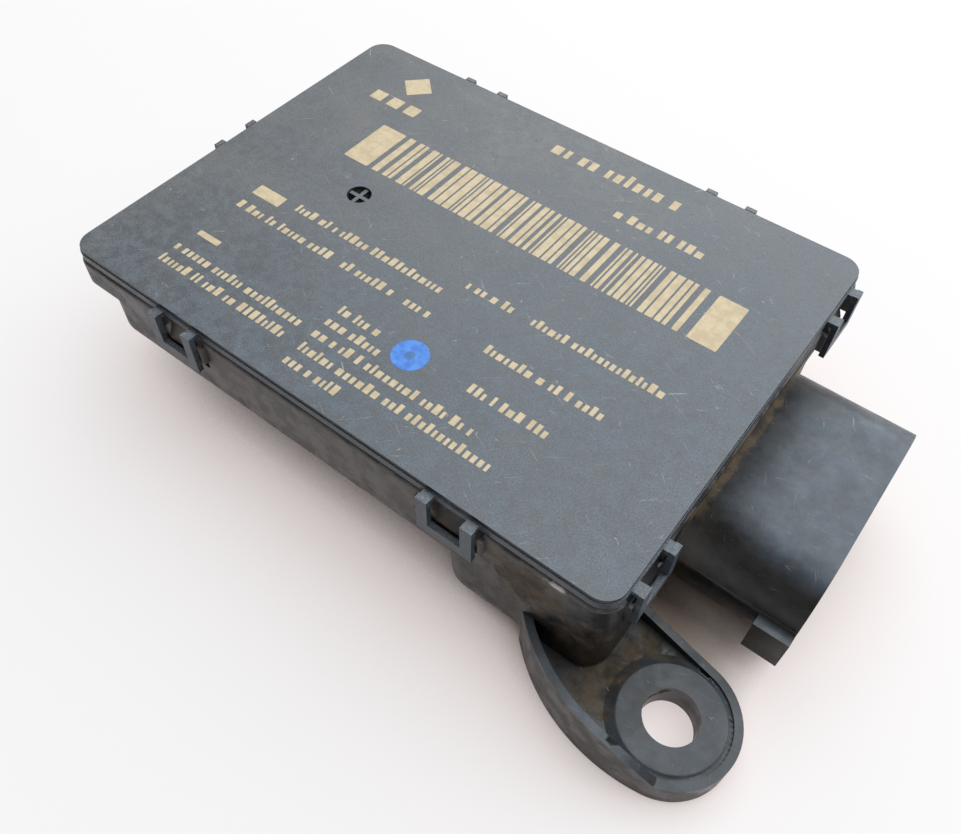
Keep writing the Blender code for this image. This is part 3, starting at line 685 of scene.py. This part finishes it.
def makeSmallMaterial(name):
    first, second, scale, roughness, metallic, bump = smallLooks[name]
    material, tree, shader, place = newMaterial(name)
    mottle = useMottle(tree, place["Object"], (scale, scale * grainPerPatch))
    colour = mixColour(tree, mottle["Patches"], first, second)
    tree.links.new(colour, shader.inputs["Base Color"])
    rough = remap(tree, mottle["Grain"], *grainRange, *roughness)
    tree.links.new(rough, shader.inputs["Roughness"])
    shader.inputs["Metallic"].default_value = metallic
    addBump(tree, shader, mottle["Grain"], bump, smallBump)
    return material


# green solder mask over paler copper tracks
boardLook = {
    "mask": (0.010, 0.085, 0.035),
    "paleMask": (0.016, 0.115, 0.050),
    "track": (0.030, 0.190, 0.085),
    "trackAmount": 0.6,
    "scales": (160.0, 2600.0),
    "trackLayout": {"offset": 0.5, "squash": 0.6, "squash_frequency": 3},
    "trackScale": 330.0,
    "trackSoftness": 0.045,
    "trackPitch": 0.34,
    "roughness": (0.25, 0.45),
    "bump": (0.3, 0.04),  # strength, and height in mm
}


def makeBoardLaminate():
    look = boardLook
    material, tree, shader, place = newMaterial("boardLaminate")
    vector = place["Object"]
    mottle = useMottle(tree, vector, look["scales"])
    tracks = addNode(
        tree, "TexBrick", look["trackLayout"], Vector=vector, Scale=look["trackScale"],
        Mortar_Smooth=look["trackSoftness"], Row_Height=look["trackPitch"],
    ).outputs["Fac"]
    colour = mixColour(tree, mottle["Patches"], look["mask"], look["paleMask"])
    tracked = mathNode(tree, "MULTIPLY", tracks, look["trackAmount"])
    colour = mixColour(tree, tracked, colour, look["track"])
    tree.links.new(colour, shader.inputs["Base Color"])
    rough = remap(tree, mottle["Grain"], *grainRange, *look["roughness"])
    tree.links.new(rough, shader.inputs["Roughness"])
    addBump(tree, shader, tracks, *look["bump"])
    return material


lidPlastic = makeLidPlastic()
basePlastic = makeBasePlastic()
boardLaminate = makeBoardLaminate()
small = {name: makeSmallMaterial(name) for name in smallLooks}
print("materials made")


lidRounding = 0.14  # mm


def everywhere(corner):
    return True


def makeLid():
    lid = refinedCopy("lid", "lid_cover", lidRounding * mm, everywhere)
    finish(lid, lidPlastic, "lid", "lid_plastic", "lid")


makeLid()
print("lid made")


# plain bars, blocks and stripes that spell and encode nothing, in mm from the lid's corner
printing = {
    "thickness": 0.015,
    "sunk": 0.05,
    "panel": (18.1, 90.1, 42.8, 53.3),
    "stripes": (23.3, 85.2),
    "stripeWidths": (0.33, 0.66, 0.66, 0.99, 1.32),
    "gapWidths": (0.33, 0.33, 0.66, 0.99),
    "lastStripe": 1.4,  # no stripe starts closer than this to the end
    "corner": 0.035,  # share of a mark's side that is rounded
    "seed": 11,
    # widths, heights and gaps of the short bars, as shares of their row's height
    "barWidths": (0.28, 0.40, 0.40, 0.55),
    "barHeights": (0.68, 0.68, 0.96),
    "barGaps": (0.24, 0.24, 0.24, 0.24, 0.60),
    "lastBar": 0.4,
    # left, right, bottom and top of each row of short bars
    "rows": [
        (45.3, 71.7, 65.6, 68.9),
        (62.8, 80.0, 58.2, 60.4),
        (54.0, 62.7, 30.6, 32.4),
        (66.0, 90.0, 30.6, 32.4),
        (21.6, 52.5, 27.2, 29.0),
        (13.3, 33.5, 22.2, 24.0),
        (36.0, 46.5, 22.2, 24.0),
        (48.7, 54.3, 22.2, 24.0),
        (63.8, 84.5, 22.2, 24.0),
        (42.3, 51.0, 14.9, 16.7),
        (42.3, 52.5, 12.1, 13.9),
        (66.3, 80.3, 15.1, 16.9),
        (13.0, 40.3, 9.3, 11.1),
        (42.3, 72.0, 9.3, 11.1),
        (13.0, 39.5, 6.2, 8.0),
        (42.6, 77.0, 6.2, 8.0),
        (42.6, 52.5, 3.2, 5.0),
    ],
    # solid shapes: middle x and y, width, height, turn in degrees
    "shapes": [
        (15.5, 65.8, 4.6, 4.6, 45.0),
        (11.6, 59.4, 2.6, 2.6, 0.0),
        (15.5, 59.4, 2.6, 2.6, 0.0),
        (19.4, 59.4, 2.6, 2.6, 0.0),
        (16.0, 27.2, 5.8, 2.4, 0.0),
        (15.8, 14.2, 4.6, 1.1, 0.0),
    ],
}


def makePrinting():
    draw = random.Random(printing["seed"])
    thin = printing["thickness"]
    depth = (thin + printing["sunk"]) * mm
    # one block with its top at zero, and each mark is a scaled copy of it
    master = addBox("mark", (-1 / 2, -1 / 2, -1.0), (1 / 2, 1 / 2, 0.0))

    def isUpright(first, second):
        return abs(first.z - second.z) > touching

    selectEdges(master, isUpright)
    bpy.ops.mesh.bevel(offset=printing["corner"], segments=2, affect="EDGES")
    objectMode()
    marks = []

    def mark(x, y, width, height, turn=0.0):
        made = copyOf(master, "mark", onLid(x, y, -thin), (width * mm, height * mm, depth))
        made.rotation_euler.z = math.radians(turn)
        marks.append(made)

    left, right, bottom, top = printing["panel"]
    first, last = printing["stripes"]
    middle = (bottom + top) / 2
    mark((left + first) / 2, middle, first - left, top - bottom)
    mark((last + right) / 2, middle, right - last, top - bottom)
    x = first + draw.choice(printing["gapWidths"])
    while x < last - printing["lastStripe"]:
        width = draw.choice(printing["stripeWidths"])
        mark(x + width / 2, middle, width, top - bottom)
        x += width + draw.choice(printing["gapWidths"])
    for rowLeft, rowRight, rowBottom, rowTop in printing["rows"]:
        height = rowTop - rowBottom
        x = rowLeft
        while x < rowRight - printing["lastBar"] * height:
            width = min(height * draw.choice(printing["barWidths"]), rowRight - x)
            tall = height * draw.choice(printing["barHeights"])
            mark(x + width / 2, rowBottom + tall / 2, width, tall)
            x += width + height * draw.choice(printing["barGaps"])
    for shape in printing["shapes"]:
        mark(*shape)
    made = joinAll(marks, "lid_printing")
    bpy.data.objects.remove(master)
    finish(made, small["markTan"], "lid", None)


# a dot of blue paint, thin in the middle, where the plastic shows through
dotLook = {
    "centre": (56.1, 15.3),  # mm from the lid's corner
    "radius": 2.85,
    "thick": 0.09,
    "middleBelow": 0.03,
    "sides": 48,
    "lip": 0.12,  # shares of the radius
    "slope": 0.30,
    "dish": 0.01,
    "smooth": 50,
    "plain": (0.026, 0.150, 0.56),
    "pale": (0.062, 0.245, 0.69),
    "thin": (0.040, 0.120, 0.230),
    "scales": (900.0, 5000.0),
    "thinPatch": ((1.0, 1.0, 0.2), 1.0, 0.75),  # stretch, radius and strength
    "roughness": (0.4, 0.6),
    "bump": (0.3, 0.03),  # strength, and height in mm
}


def makeDotPaint():
    look = dotLook
    material, tree, shader, place = newMaterial("dotPaint")
    vector = place["Object"]
    mottle = useMottle(tree, vector, look["scales"])
    thin = useGrime(tree, vector, onLid(*look["centre"]), *look["thinPatch"])
    colour = mixColour(tree, mottle["Patches"], look["plain"], look["pale"])
    colour = mixColour(tree, thin, colour, look["thin"])
    tree.links.new(colour, shader.inputs["Base Color"])
    rough = remap(tree, mottle["Grain"], *grainRange, *look["roughness"])
    tree.links.new(rough, shader.inputs["Roughness"])
    addBump(tree, shader, mottle["Grain"], *look["bump"])
    return material


def makePaintDot():
    look = dotLook
    radius = look["radius"] * mm
    centre = onLid(*look["centre"], look["middleBelow"])
    dot = addRod("paint_dot", centre, radius, look["thick"] * mm, look["sides"])
    selectFaces(dot, looksUp)
    bpy.ops.mesh.inset(thickness=radius * look["lip"], depth=0.0)
    bpy.ops.mesh.inset(thickness=radius * look["slope"], depth=-look["dish"] * mm)
    objectMode()
    smoothByAngle(dot, look["smooth"])
    finish(dot, makeDotPaint(), "lid", None)


makePrinting()
makePaintDot()
print("markings made")


baseRounding = 0.16  # mm
collarStart = lidHigh.x - loopProud
collarFront = -20.0 * mm


def besideCollar(corner):
    return corner.x < collarStart or corner.y < collarFront  # the collar itself stays evenly smooth


def makeBase():
    base = refinedCopy("base_housing", "base_shell", baseRounding * mm, besideCollar)
    finish(base, basePlastic, "base", "base_plastic", "base_housing")


makeBase()
print("base made")


insideFinishes = {
    # node: finish, and how much its edges are rounded in mm, or None where its solid is kept
    "lid_gasket": ("gasketRubber", None),
    "vent_membrane": ("membraneCloth", None),
    "pin_header": ("headerPlastic", None),
    "antenna_loop": ("copperWire", None),
    "radio_receiver": ("chipResin", None),
    "saw_filter": ("tinPlate", None),
    "smoothing_capacitor_1": ("sleeveFoil", None),
    "smoothing_capacitor_2": ("sleeveFoil", None),
    "microcontroller": ("chipResin", 0.12),
    "bus_transceiver": ("chipResin", 0.12),
    "surge_diode": ("chipResin", 0.15),
    "voltage_regulator": ("chipResin", 0.15),
    "choke_coil": ("ferriteCore", 0.15),
    "crystal": ("tinPlate", 0.30),
    "tantalum_capacitor_1": ("tantalumCase", 0.12),
    "tantalum_capacitor_2": ("tantalumCase", 0.12),
    "tantalum_capacitor_3": ("tantalumCase", 0.12),
}
insideSlots = {"chipResin": "chip", "ferriteCore": "ferrite", "tinPlate": "tin", "tantalumCase": "orange"}


def makeInside():
    for name in nodes:
        if name.startswith("terminal_pin"):
            nodes[name].material_slots[0].material = small["tinPlate"]
    nodes["circuit_board"].material_slots[0].material = boardLaminate
    for name, (finishName, rounding) in insideFinishes.items():
        if rounding is None:
            nodes[name].material_slots[0].material = small[finishName]
            continue
        piece = refinedCopy(name, name + "_body", rounding * mm)
        finish(piece, small[finishName], "base", insideSlots[finishName], name)


# vent holes in the can's roof: rows and columns, and sizes in mm
canLook = {
    "rounding": 0.25,
    "rows": 3,
    "columns": 4,
    "pitch": 2.6,
    "hole": 0.55,
    "sides": 20,
    "drill": 1.6,
    "smooth": 40,
}


def makeShieldCan():
    look = canLook
    low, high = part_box("shield_can")
    middle = (low + high) / 2
    can = refinedCopy("shield_can", "shield_can_body", look["rounding"] * mm)
    pitch = look["pitch"] * mm
    rods = []
    for row in range(look["rows"]):
        for column in range(look["columns"]):
            x = middle.x + (column - (look["columns"] - 1) / 2) * pitch
            y = middle.y + (row - (look["rows"] - 1) / 2) * pitch
            rod = addRod("hole", (x, y, high.z), look["hole"] * mm, look["drill"] * mm, look["sides"])
            rods.append(rod)
    cutBy(can, joinAll(rods, "holes"))
    smoothByAngle(can, look["smooth"])
    finish(can, small["tinPlate"], "base", "tin", "shield_can")


# cross recess of a board screw in mm
screwLook = {
    "screws": 4,
    "rounding": 0.30,
    "recess": 2.3,
    "blade": 0.60,
    "deep": 1.1,
    "taper": 0.45,
    "smooth": 35,
}


def makeScrews():
    look = screwLook
    low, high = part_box("board_screw_1")
    middle = (low + high) / 2
    recess, blade, deep = (look[key] * mm for key in ("recess", "blade", "deep"))
    master = refinedCopy("board_screw_1", "screw_master", look["rounding"] * mm)
    cutters = []
    for long, wide in ((recess, blade), (blade, recess)):
        cutter = addBox("blade", (-long / 2, -wide / 2, -deep), (long / 2, wide / 2, deep))
        selectFaces(cutter, looksDown)
        taper = (look["taper"], look["taper"], 1.0)
        bpy.ops.transform.resize(value=taper, center_override=(0.0, 0.0, -deep))
        objectMode()
        cutter.location = (middle.x, middle.y, high.z)
        cutters.append(settle(cutter))
    cutBy(master, *cutters)
    smoothByAngle(master, look["smooth"])
    for index in range(look["screws"]):
        node = f"board_screw_{index + 1}"
        screw = settle(copyOf(master, f"{node}_body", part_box(node)[0] - low))
        finish(screw, small["brightZinc"], "base", "zinc", node)
    bpy.data.objects.remove(master)


# one gull-wing leg in mm, and the rows of legs: sides in degrees, legs on a side, pitch and width
legLook = {
    "width": 0.35,
    "inside": 0.25,
    "out": 0.35,
    "slope": 0.12,
    "down": 0.50,
    "foot": 0.50,
    "thick": 0.14,
    "level": 0.30,  # share of the chip's height at which a leg comes out
    "clear": 0.01,  # left under a foot
    "rows": {
        "microcontroller": ((0, 90, 180, 270), 11, 0.95, 0.38),
        "bus_transceiver": ((90, 270), 4, 1.20, 0.45),
        "voltage_regulator": ((270,), 3, 2.54, 0.95),
        "surge_diode": ((0, 180), 1, 0.0, 2.6),
        "tantalum_capacitor_1": ((0, 180), 1, 0.0, 2.1),
        "tantalum_capacitor_2": ((0, 180), 1, 0.0, 2.1),
        "tantalum_capacitor_3": ((0, 180), 1, 0.0, 2.1),
    },
}


def makeLeg():
    # along x, from inside the chip's side to the foot
    look = legLook
    inside, out, slope = (look[key] * mm for key in ("inside", "out", "slope"))
    bpy.ops.object.select_all(action="DESELECT")
    bpy.ops.mesh.primitive_plane_add(size=1.0, location=((out - inside) / 2, 0.0, 0.0))
    leg = bpy.context.object
    leg.scale = (out + inside, look["width"] * mm, 1.0)
    settle(leg)

    def isOuter(first, second):
        return min(first.x, second.x) > out - touching

    selectEdges(leg, isOuter)
    for step in ((slope, 0.0, -look["down"] * mm), (look["foot"] * mm, 0.0, 0.0)):
        bpy.ops.mesh.extrude_region_move(TRANSFORM_OT_translate={"value": step})
    objectMode()
    thickness = leg.modifiers.new("thickness", "SOLIDIFY")
    thickness.thickness = look["thick"] * mm
    thickness.offset = 1.0
    applyModifiers(leg)
    editAll(leg)
    bpy.ops.mesh.normals_make_consistent(inside=False)
    objectMode()
    return leg


def makeLegs():
    look = legLook
    leg = makeLeg()
    copies = []
    for node, (sides, count, pitch, width) in look["rows"].items():
        low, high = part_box(node)
        middle = (low + high) / 2
        half = (high - low) / 2
        level = low.z + look["level"] * (high.z - low.z)
        lift = (level - boardTop - look["clear"] * mm) / (look["down"] * mm)
        for side in sides:
            turn = math.radians(side)
            out = Vector((math.cos(turn), math.sin(turn), 0.0))
            along = Vector((-out.y, out.x, 0.0))
            reach = abs(out.x) * half.x + abs(out.y) * half.y
            for index in range(count):
                spot = middle + out * reach + along * (index - (count - 1) / 2) * pitch * mm
                spot.z = level
                made = copyOf(leg, "leg", spot, (1.0, width / look["width"], lift))
                made.rotation_euler.z = turn
                copies.append(made)
    legs = joinAll(copies, "chip_legs")
    bpy.data.objects.remove(leg)
    finish(legs, small["tinPlate"], "base", "tin")


# solder collar round a pin in mm: radius at the board, then rise and shrink of each ring
solderLook = {
    "pins": 10,
    "radius": 0.95,
    "rings": ((0.14, 0.74), (0.24, 0.74)),
    "sides": 20,
    "pinWidth": 0.8,
    "sunk": 0.01,
    "smooth": 60,
}


def makeSolder():
    look = solderLook
    bpy.ops.object.select_all(action="DESELECT")
    bpy.ops.mesh.primitive_circle_add(
        vertices=look["sides"], radius=look["radius"] * mm, fill_type="NGON"
    )
    collar = bpy.context.object
    editAll(collar)
    rise = 0.0
    for up, shrink in look["rings"]:
        rise += up * mm
        bpy.ops.mesh.extrude_region_move(TRANSFORM_OT_translate={"value": (0.0, 0.0, up * mm)})
        bpy.ops.transform.resize(value=(shrink, shrink, 1.0), center_override=(0.0, 0.0, rise))
    objectMode()

    def isLowest(first, second):
        return max(first.z, second.z) < touching

    # the extrusion leaves the collar open below, so its underside is filled
    selectEdges(collar, isLowest)
    bpy.ops.mesh.edge_face_add()
    bpy.ops.mesh.select_all(action="SELECT")
    bpy.ops.mesh.normals_make_consistent(inside=False)
    objectMode()
    copies = []
    for index in range(look["pins"]):
        low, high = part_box(f"terminal_pin_{index + 1}")
        x = low.x + look["pinWidth"] * mm / 2
        spot = (x, (low.y + high.y) / 2, boardTop - look["sunk"] * mm)
        copies.append(copyOf(collar, "collar", spot))
    joints = joinAll(copies, "solder_joints")
    bpy.data.objects.remove(collar)
    smoothByAngle(joints, look["smooth"])
    finish(joints, small["tinPlate"], "base", "tin")


# polarity band on each tantalum block in mm
bandLook = {
    "blocks": 3,
    "width": 1.0,
    "inset": 0.35,
    "thick": 0.03,
    "sunk": 0.05,
    "edge": 0.25,
    "rounding": 0.015,
}


def makeBands():
    look = bandLook
    edge = look["edge"] * mm
    bands = []
    for index in range(look["blocks"]):
        low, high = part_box(f"tantalum_capacitor_{index + 1}")
        left = low.x + look["inset"] * mm
        front = (left, low.y + edge, high.z - look["sunk"] * mm)
        back = (left + look["width"] * mm, high.y - edge, high.z + look["thick"] * mm)
        band = addBox("band", front, back)
        roundEdges(band, look["rounding"] * mm, 1)
        bands.append(band)
    finish(joinAll(bands, "polarity_bands"), small["bandBrown"], "base", None)


makeInside()
makeShieldCan()
makeScrews()
makeLegs()
makeSolder()
makeBands()
print("inside pieces made")


floorLook = {
    "size": 16.0,
    "below": 0.1,  # mm under the object
    "colour": (0.80, 0.775, 0.77),
    "fleck": 0.985,
    "fleckScale": 900.0,
    "fleckDetail": 4.0,
    "roughness": 0.85,
    "specular": 0.2,
    "shadeReach": 35.0,  # mm
    "shadeSamples": 8,
    "openRange": (0.22, 0.66),
    "shadeColour": (0.50, 0.40, 0.31),
    "holeEdge": (6.0, 4.5),  # mm from the hole's middle
    "glow": 0.58,
    "glowRange": (0.6, 1.0),
    "nearGlow": (1.0, 0.90, 0.885),
    "farGlow": (0.965, 0.965, 0.985),
}


def makeFloor():
    look = floorLook
    level = cadBox[0][2] - look["below"] * mm
    bpy.ops.mesh.primitive_plane_add(size=look["size"], location=(0.0, 0.0, level))
    floor = bpy.context.object
    floor.name = "floor"
    material, tree, shader, place = newMaterial("floorPaper")
    vector = place["Object"]
    flecks = addNode(
        tree, "TexNoise", Vector=vector, Scale=look["fleckScale"], Detail=look["fleckDetail"]
    )
    # the glow goes out where the object shuts the light off, and the paper picks up its brown there
    shade = addNode(
        tree, "AmbientOcclusion", {"samples": look["shadeSamples"]}, Distance=look["shadeReach"] * mm
    ).outputs["AO"]
    openness = remap(tree, shade, *look["openRange"])
    # the ear's hole lets the light through
    away = addNode(tree, "VectorMath", {"operation": "DISTANCE"}, n0=vector, n1=earHole)
    inHole = remap(tree, away.outputs["Value"], *(edge * mm for edge in look["holeEdge"]))
    openness = mathNode(tree, "MAXIMUM", openness, inHole)
    darker = tuple(value * look["fleck"] for value in look["colour"])
    colour = mixColour(tree, flecks.outputs[0], darker, look["colour"])
    colour = mixColour(tree, openness, look["shadeColour"], colour)
    tree.links.new(colour, shader.inputs["Base Color"])
    shader.inputs["Roughness"].default_value = look["roughness"]
    shader.inputs["Specular IOR Level"].default_value = look["specular"]
    path = tree.nodes.new("ShaderNodeLightPath").outputs
    # painted shade: the glow turns pinker where the floor is shaded
    nearness = remap(tree, shade, *look["glowRange"])
    glowColour = mixColour(tree, nearness, look["nearGlow"], look["farGlow"])
    glow = addNode(tree, "Emission", Strength=1.0, Color=glowColour)
    seen = mathNode(tree, "MAXIMUM", path["Is Camera Ray"], path["Is Glossy Ray"])
    seen = mathNode(tree, "MAXIMUM", seen, path["Is Transmission Ray"])
    share = mathNode(tree, "MULTIPLY", seen, openness)
    share = mathNode(tree, "MULTIPLY", share, look["glow"])
    lit = addNode(tree, "MixShader", n0=share, n1=shader.outputs[0], n2=glow.outputs[0])
    # from below the paper is clear, so that the underside can be looked at
    facing = tree.nodes.new("ShaderNodeNewGeometry")
    clear = tree.nodes.new("ShaderNodeBsdfTransparent")
    sides = addNode(
        tree, "MixShader", n0=facing.outputs["Backfacing"], n1=lit.outputs[0], n2=clear.outputs[0]
    )
    tree.links.new(sides.outputs[0], tree.nodes["Material Output"].inputs["Surface"])
    floor.data.materials.append(material)


softboxLook = {
    "direction": (0.10, 0.58, 0.80),
    "distance": 0.9,
    "size": 1.7,
    "power": 19.3,
    "colour": (0.965, 0.995, 1.0),
}


def makeSoftbox():
    look = softboxLook
    light = bpy.data.lights.new("backSoftbox", "AREA")
    light.shape = "DISK"
    light.size = look["size"]
    light.energy = look["power"]
    light.color = look["colour"]
    lamp = bpy.data.objects.new("backSoftbox", light)
    bpy.context.scene.collection.objects.link(lamp)
    direction = Vector(look["direction"]).normalized()
    lamp.location = direction * look["distance"]
    lamp.rotation_euler = direction.to_track_quat("Z", "Y").to_euler()


worldLook = {"colour": (1.0, 0.93, 0.92), "strength": 0.25}


def makeWorld():
    world = bpy.data.worlds.new("studio")
    bpy.context.scene.world = world
    world.use_nodes = True
    sky = world.node_tree.nodes["Background"]
    sky.inputs["Color"].default_value = (*worldLook["colour"], 1.0)
    sky.inputs["Strength"].default_value = worldLook["strength"]


cameraPlace = {
    "location": (0.05385, -0.07893, 0.1230),
    "forward": (-0.3500, 0.4790, -0.8050),
    "right": (0.7940, 0.6080, 0.0170),
    "lens": 33.74,
    "sensor": 36.0,
    "nearest": 0.005,
    "farthest": 50.0,
}


def makeCamera():
    data = bpy.data.cameras.new("camera")
    data.lens = cameraPlace["lens"]
    data.sensor_width = cameraPlace["sensor"]
    data.clip_start = cameraPlace["nearest"]
    data.clip_end = cameraPlace["farthest"]
    camera = bpy.data.objects.new("camera", data)
    bpy.context.scene.collection.objects.link(camera)
    back = -Vector(cameraPlace["forward"]).normalized()
    right = Vector(cameraPlace["right"])
    right = (right - back * right.dot(back)).normalized()
    up = back.cross(right)
    turn = Matrix((right, up, back)).transposed().to_4x4()
    camera.matrix_world = Matrix.Translation(cameraPlace["location"]) @ turn
    bpy.context.scene.camera = camera


makeFloor()
makeWorld()
makeSoftbox()
makeCamera()
bpy.context.scene.view_settings.view_transform = "Standard"
print("stage made")
